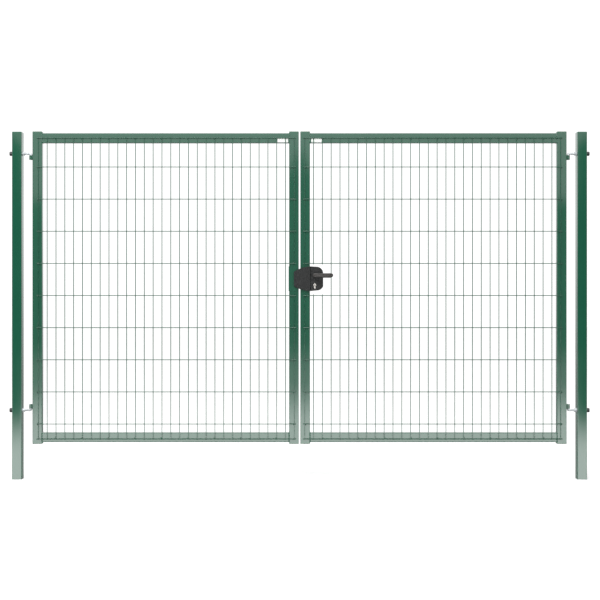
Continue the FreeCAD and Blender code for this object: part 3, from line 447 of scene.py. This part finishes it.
def zinc(name, deep, pale, roughness, mottle_size, metallic=1.0):
    """Zinc coat: metal whose tone and roughness shift between crystals mottle_size across, so
    the eye sees a cloudy grey sheen without a clear highlight. Weathered zinc is less metallic."""
    material, tree, shader, place = surface(name, {"Metallic": metallic})
    crystals = add(tree, "TexVoronoi", {"Vector": place, "Scale": 1.0 / mottle_size}).outputs["Color"]
    value = add(tree, "SeparateColor", {0: crystals}).outputs[0]
    tint = add(tree, "Mix", {0: value, 6: linear(deep), 7: linear(pale)}, data_type="RGBA")
    tree.links.new(tint.outputs[2], shader.inputs["Base Color"])
    rough = add(tree, "MapRange", {0: value, 3: roughness - 0.08, 4: roughness + 0.08})
    tree.links.new(rough.outputs[0], shader.inputs["Roughness"])
    grit = grain(tree, place, 0.0006)
    bump = add(tree, "Bump", {"Strength": 1.0, "Distance": 0.00002, "Height": grit})
    tree.links.new(bump.outputs[0], shader.inputs["Normal"])
    return material


galvanised = zinc("hot_dip_galvanised_steel", "#A9ADB0", "#C6CACC", 0.50, 0.003,
                  metallic=0.5)
black_cap = moulded("moulded_polyethylene_black", "#17181A", "#1D1E20", 0.45, 0.0008, 0.00003)
finish(["hinge_washers", "hinge_inner_nuts", "hinge_outer_nuts"], galvanised)
finish(["hinge_nut_caps"], black_cap)


def hinge_bolt(axis_x, end_x, rod_z, tip_z):
    """L-shaped bolt: circles carried along the rod, round the elbow and up the pin. On the rod
    the radius dips in a ridge that winds once round per pitch; a wider ring is the collar."""
    rod, bend, pin, pitch, depth = 0.007, 0.008, 0.006, 0.002, 0.0009
    collar, collar_low, collar_high, collar_edge, pin_edge = 0.011, 0.008, 0.011, 0.0003, 0.001
    run_out, around, per_pitch = 0.006, 20, 6
    side, rise = np.sign(axis_x), np.sign(tip_z - rod_z)
    shank = abs(end_x) - abs(axis_x) - bend
    thread_s = np.arange(0.0, shank, pitch / per_pitch)
    elbow_turn = np.linspace(0.0, np.pi / 2.0, 10)
    tip = abs(tip_z - rod_z)
    up = np.array([collar_low, collar_low, collar_low + collar_edge, collar_high - collar_edge,
                   collar_high, collar_high, tip - pin_edge, tip, tip])
    up_radius = np.array([rod, collar - collar_edge, collar, collar, collar - collar_edge, pin, pin,
                          pin - pin_edge, 0.0])
    x = np.concatenate([[shank, shank], shank - thread_s, -bend * np.sin(elbow_turn), -bend + 0 * up])
    z = np.concatenate([[0.0, 0.0], 0 * thread_s, bend - bend * np.cos(elbow_turn), up])
    theta = np.concatenate([[0.0, 0.0], 0 * thread_s, elbow_turn, np.pi / 2.0 + 0 * up])
    radius = np.concatenate([[0.0, rod - depth], rod + 0 * thread_s, rod + 0 * elbow_turn, up_radius])
    turn = np.linspace(0.0, 2.0 * np.pi, around, endpoint=False)
    wound = ((thread_s[:, None] / pitch + turn / (2.0 * np.pi)) % 1.0)
    fade = np.clip((shank - thread_s) / run_out, 0.0, 1.0)[:, None]
    size = np.broadcast_to(radius[:, None], (len(radius), around)).copy()
    size[2:2 + len(thread_s)] -= depth * np.abs(2.0 * wound - 1.0) * fade
    out_x = size * np.cos(turn) * np.sin(theta)[:, None]
    out_z = size * np.cos(turn) * np.cos(theta)[:, None]
    points = np.stack([axis_x + side * (bend + x[:, None] + out_x),
                       size * np.sin(turn), rod_z + rise * (z[:, None] + out_z)], axis=-1)
    return points.reshape(-1, 3), ring_faces(len(radius), around)


rod_radius = 0.007
for side in sides:
    out = -1.0 if side == "left" else 1.0
    axis_x = middle_and_half(side + "_hinge_bushes")[0][0]
    for level, rise in (("_lower_hinge_bolt", 1.0), ("_upper_hinge_bolt", -1.0)):
        low, high = (np.array(corner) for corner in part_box(side + level))
        end_x = high[0] if out > 0 else low[0]
        rod_z = low[2] + rod_radius if rise > 0 else high[2] - rod_radius
        tip_z = high[2] if rise > 0 else low[2]
        piece = turned_out(mesh_piece(side + level.replace("hinge", "threaded"),
                                      *hinge_bolt(axis_x, end_x, rod_z, tip_z), galvanised))
        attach(piece, "posts")
        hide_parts(side + level)

# ---- labels -------------------------------------------------------------------------------------
# White polyester film, stuck to the front of each top rail beside the meeting stile and folded round under
# the rail. Slightly glossy. A grey band along its lower edge, over the fold and the lap under the rail, is
# painted shade where the film turns under.
# The grey band's height sets the painted shade: the film is grey from just above its fold down round the
# lap under the rail.
label_height, label_lap, label_off, painted_shade_height, painted_shade_blur = 0.026, 0.012, 0.00004, 0.0045, 0.0005
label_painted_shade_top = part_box("left_top_rail")[0][2] + painted_shade_height
film, film_tree, film_shader, film_place = surface("white_polyester_film", {"Roughness": 0.35, "IOR": 1.49})
film_cloud = grain(film_tree, film_place, 0.015)
film_tint = add(film_tree, "Mix", {0: film_cloud, 6: linear("#C2C6C2"), 7: linear("#D2D5D1")},
                data_type="RGBA")
film_height = add(film_tree, "SeparateXYZ", {0: film_place}).outputs[2]
# Painted shade: below this height the white film is mixed to grey, standing in for shade on its fold and
# its lap under the rail.
film_painted_shade = add(film_tree, "MapRange", {0: film_height, 1: label_painted_shade_top, 2: label_painted_shade_top + painted_shade_blur})
film_with_painted_shade = add(film_tree, "Mix", {0: film_painted_shade.outputs[0], 6: linear("#8C9290"),
                                    7: film_tint.outputs[2]}, data_type="RGBA")
film_tree.links.new(film_with_painted_shade.outputs[2], film_shader.inputs["Base Color"])


def folded_film(low_x, high_x, front_y, under_z, top_z, corner, lap, off):
    """Label on the rail's face: a straight run down, a quarter circle round the lower corner and
    a straight lap under the rail, all drawn along X. The film stands off the paint by off."""
    turn = np.linspace(0.0, np.pi / 2.0, 9)
    y = np.concatenate([np.full(6, front_y - off), front_y + corner - (corner + off) * np.cos(turn),
                        np.linspace(front_y + corner, front_y + lap, 4)[1:]])
    z = np.concatenate([np.linspace(top_z, under_z + corner, 7)[:-1],
                        under_z + corner - (corner + off) * np.sin(turn), np.full(3, under_z - off)])
    across = np.linspace(low_x, high_x, 12)
    points = np.stack([np.broadcast_to(across[:, None], (12, len(y))),
                       np.broadcast_to(y, (12, len(y))), np.broadcast_to(z, (12, len(y)))], axis=-1)
    i, j = np.meshgrid(np.arange(11), np.arange(len(y) - 1), indexing="ij")
    base = i * len(y) + j
    faces = np.stack([base, base + 1, base + len(y) + 1, base + len(y)], axis=-1).reshape(-1, 4)
    return points.reshape(-1, 3), faces


for side, low_x, high_x in (("left", -0.140, -0.071), ("right", 0.073, 0.141)):
    rail_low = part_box(side + "_top_rail")[0]
    shape = folded_film(low_x, high_x, rail_low[1], rail_low[2], rail_low[2] + label_height, tube_corner,
                        label_lap, label_off)
    piece = mesh_piece(side + "_label", *shape, film)
    thickness = piece.modifiers.new("film_thickness", "SOLIDIFY")
    thickness.thickness = 0.00008
    thickness.offset = 1.0
    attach(piece, side + "_leaf")

# ---- lock: case, cover halves and guard plate -----------------------------------------------------
# Pressed aluminium covers and guard plate over a steel case, coated in anthracite fine-texture
# powder: matt, with a sandy grain under a millimetre across.
matt = {"Roughness": 0.55, "IOR": 1.5, "Specular IOR Level": 0.2}
anthracite = powder_coat("fine_texture_powder_coat_anthracite", "#181919", "#1D1E1E", matt,
                         peel_size=0.0009, peel_height=0.00003, cloud_size=0.05)
finish(["lock_guard_plate", "lock_front_cover", "lock_rear_cover"], anthracite)

# ---- levers -----------------------------------------------------------------------------------
# Die-cast aluminium levers, tumbled smooth and lacquered in a warm anthracite that shines more
# than the covers.
satin = {"Roughness": 0.32, "IOR": 1.5, "Specular IOR Level": 0.4}
lever_lacquer = powder_coat("satin_lacquer_warm_anthracite", "#1A1715", "#211D1B", satin,
                            peel_size=0.0015, peel_height=0.00001, cloud_size=0.03)


def lever_arm(spindle_x, tip_x, middle_y, half_y, middle_z, half_z, outward):
    """Lever grip: rounded oblongs (a fifth-power ellipse) carried from a round boss over the
    spindle out to the tip, slimming just past the boss; the last part bends back to the leaf."""
    steps, around, bend_back, bent_part = 72, 40, 0.006, 0.030
    waist_depth, waist_from_spindle, waist_length, corner_power = 0.12, 0.026, 0.014, 5.0
    along = (1.0 - np.cos(np.linspace(0.0, np.pi, steps))) / 2.0
    start_x = spindle_x - half_z
    x = start_x + (tip_x - start_x) * along
    close_tip = np.clip((tip_x - x) / half_z, 0.0, 1.0)
    close_boss = np.clip((x - start_x) / half_z, 0.0, 1.0)
    round_off = np.sqrt(1.0 - (1.0 - close_tip) ** 2) * np.sqrt(1.0 - (1.0 - close_boss) ** 2)
    waist = 1.0 - waist_depth * np.exp(-((x - spindle_x - waist_from_spindle) / waist_length) ** 2)
    tall = half_z * round_off * waist
    thick = half_y * np.minimum(1.0, round_off ** 0.35)
    far_part = np.clip((x - tip_x + bent_part) / bent_part, 0.0, 1.0)
    y = middle_y - outward * bend_back * far_part ** 2
    turn = np.linspace(0.0, 2.0 * np.pi, around, endpoint=False)
    power = 2.0 / corner_power
    ring_y = np.sign(np.cos(turn)) * np.abs(np.cos(turn)) ** power
    ring_z = np.sign(np.sin(turn)) * np.abs(np.sin(turn)) ** power
    points = np.stack([np.broadcast_to(x[:, None], (steps, around)),
                       y[:, None] + thick[:, None] * ring_y,
                       middle_z + tall[:, None] * ring_z], axis=-1)
    return points.reshape(-1, 3), ring_faces(steps, around)


def lever_neck(spindle_x, middle_z, near_y, far_y, radius, outward):
    """Round neck from the cover to the grip: circles about the spindle, flaring at the grip."""
    steps, around = 24, 32
    along = np.linspace(0.0, 1.0, steps)
    size = radius * (1.0 + 0.18 * along ** 4)
    size[[0, -1]] = 0.0
    along[[0, -1]] = along[[1, -2]]
    turn = np.linspace(0.0, 2.0 * np.pi, around, endpoint=False)
    y = np.broadcast_to((near_y + (far_y - near_y) * along)[:, None], (steps, around))
    points = np.stack([spindle_x + size[:, None] * np.cos(turn), y,
                       middle_z + size[:, None] * np.sin(turn)], axis=-1)
    return points.reshape(-1, 3), ring_faces(steps, around)


spindle_middle = middle_and_half("spindle")[0]
arm_thickness = 0.011
arm_half_height = 0.0125
neck_radius = 0.010
for node, outward in (("front_lever", -1.0), ("rear_lever", 1.0)):
    middle, half = middle_and_half(node)
    outer_y = middle[1] + outward * half[1]
    inner_y = middle[1] - outward * half[1]
    arm_y = outer_y - outward * arm_thickness / 2.0
    shapes = [lever_arm(spindle_middle[0], middle[0] + half[0], arm_y, arm_thickness / 2.0,
                        spindle_middle[2], arm_half_height, outward),
              lever_neck(spindle_middle[0], spindle_middle[2], inner_y, arm_y, neck_radius, outward)]
    piece = turned_out(mesh_piece(node + "_casting", *gather(shapes), lever_lacquer))
    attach(piece, "lever_set")
    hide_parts(node)

# ---- lock works and screws ----------------------------------------------------------------------
# Bright zinc-plated screws, case and drop bolt rod; the latch, dead bolt, spindle and hub are bare ground
# steel, and the strike brushed stainless, with fine marks across them.


def brushed(name, deep, pale, roughness, line_width, along):
    """Ground or brushed metal: lines about line_width wide, stretched along one axis, which
    streak the sheen."""
    material, tree, shader, place = surface(name, {"Metallic": 1.0})
    stretch = tuple(0.02 if axis == along else 1.0 for axis in "xyz")
    drawn = add(tree, "Mapping", {"Vector": place, "Scale": stretch}).outputs[0]
    lines = grain(tree, drawn, line_width, detail=3.0)
    tint = add(tree, "Mix", {0: lines, 6: linear(deep), 7: linear(pale)}, data_type="RGBA")
    tree.links.new(tint.outputs[2], shader.inputs["Base Color"])
    rough = add(tree, "MapRange", {0: lines, 3: roughness - 0.06, 4: roughness + 0.06})
    tree.links.new(rough.outputs[0], shader.inputs["Roughness"])
    bump = add(tree, "Bump", {"Strength": 1.0, "Distance": 0.00001, "Height": lines})
    tree.links.new(bump.outputs[0], shader.inputs["Normal"])
    return material


plated = zinc("bright_zinc_plated_steel", "#B9BCBE", "#CDD0D1", 0.28, 0.002)
ground_steel = brushed("ground_steel", "#8E9194", "#A7AAAD", 0.32, 0.0004, "x")
strike_steel = brushed("brushed_stainless_strike", "#A3A5A7", "#B5B7B9", 0.34, 0.0004, "z")
finish(["guard_plate_screws", "cover_screws", "keep_screws", "lock_fixing_bolts", "cylinder_screw",
        "lever_grub_screws", "lock_case", "lock_case_lid", "drop_bolt_rod"], plated)
finish(["latch_bolt", "dead_bolt", "spindle", "follower_hub"], ground_steel)
finish(["strike_plate"], strike_steel)


def coil(low, high, wire_radius, turns):
    """Compression spring along X between two corners of its box: circles of the wire carried
    round a helix, the first and last shrunk to a point."""
    steps, around = turns * 20 + 1, 8
    along = np.linspace(0.0, 1.0, steps)
    winding = 2.0 * np.pi * turns * along
    size = np.full(steps, wire_radius)
    size[[0, -1]] = 0.0
    turn = np.linspace(0.0, 2.0 * np.pi, around, endpoint=False)
    centre = (low + high) / 2.0
    reach = (high[1] - low[1]) / 2.0 - wire_radius + size[:, None] * np.cos(turn)
    x = low[0] + wire_radius + (high[0] - low[0] - 2.0 * wire_radius) * along
    points = np.stack([x[:, None] + size[:, None] * np.sin(turn),
                       centre[1] + reach * np.cos(winding)[:, None],
                       centre[2] + reach * np.sin(winding)[:, None]], axis=-1)
    return points.reshape(-1, 3), ring_faces(steps, around)


spring_low, spring_high = (np.array(corner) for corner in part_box("latch_spring"))
spring_wire_radius = 0.0004
spring_turns = 6
spring_shape = coil(spring_low, spring_high, spring_wire_radius, spring_turns)
spring = turned_out(mesh_piece("latch_coil_spring", *spring_shape, ground_steel))
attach(spring, "right_leaf")
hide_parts("latch_spring")
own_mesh(spring)

# ---- profile cylinder ---------------------------------------------------------------------------
# Nickel-plated brass profile cylinder, its faces brushed upright, with a turned plug.
nickel = brushed("brushed_nickel_plated_brass", "#8A8884", "#9E9B96", 0.34, 0.0003, "z")
finish(["cylinder_body", "cylinder_plugs", "cylinder_cam"], nickel)

# ---- keep ---------------------------------------------------------------------------------------
# Folded steel saddle round the left meeting stile, screwed on over the strike and coated with it.
finish(["keep_saddle"], green_powder)

# ---- drop bolt ----------------------------------------------------------------------------------
# Zinc-plated round bar sliding in two welded guides behind the left meeting stile, held up by a
# black spring clip and lifted by a black plastic grip.
finish(["drop_bolt_guides"], green_powder)
finish(["drop_bolt_clip"], black_cap)


def ribbed_grip(x, near_y, far_y, z, bore, radius):
    """Grip sleeve: circles along Y from the bore's edge out to a rounded shoulder, five ribs as
    the crests of a sine, and a domed end."""
    steps, around, rib = 90, 32, 0.0009
    along = np.linspace(0.0, 1.0, steps)
    dome = np.sqrt(np.clip(1.0 - (2.0 * along - 1.0) ** 10, 0.0, 1.0))
    size = (radius - rib + rib * np.abs(np.sin(5.0 * np.pi * along))) * dome
    size[0] = 0.0
    size[1] = bore
    turn = np.linspace(0.0, 2.0 * np.pi, around, endpoint=False)
    y = np.broadcast_to((near_y + (far_y - near_y) * along)[:, None], (steps, around))
    points = np.stack([x + size[:, None] * np.cos(turn), y, z + size[:, None] * np.sin(turn)], axis=-1)
    return points.reshape(-1, 3), ring_faces(steps, around)


grip_middle, grip_half = middle_and_half("drop_bolt_grip")
grip_bore = 0.0081
grip_shape = ribbed_grip(grip_middle[0], grip_middle[1] - grip_half[1], grip_middle[1] + grip_half[1],
                         grip_middle[2], grip_bore, grip_half[0])
grip = mesh_piece("drop_bolt_ribbed_grip", *grip_shape, black_cap)
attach(turned_out(grip), "drop_bolt")
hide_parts("drop_bolt_grip")
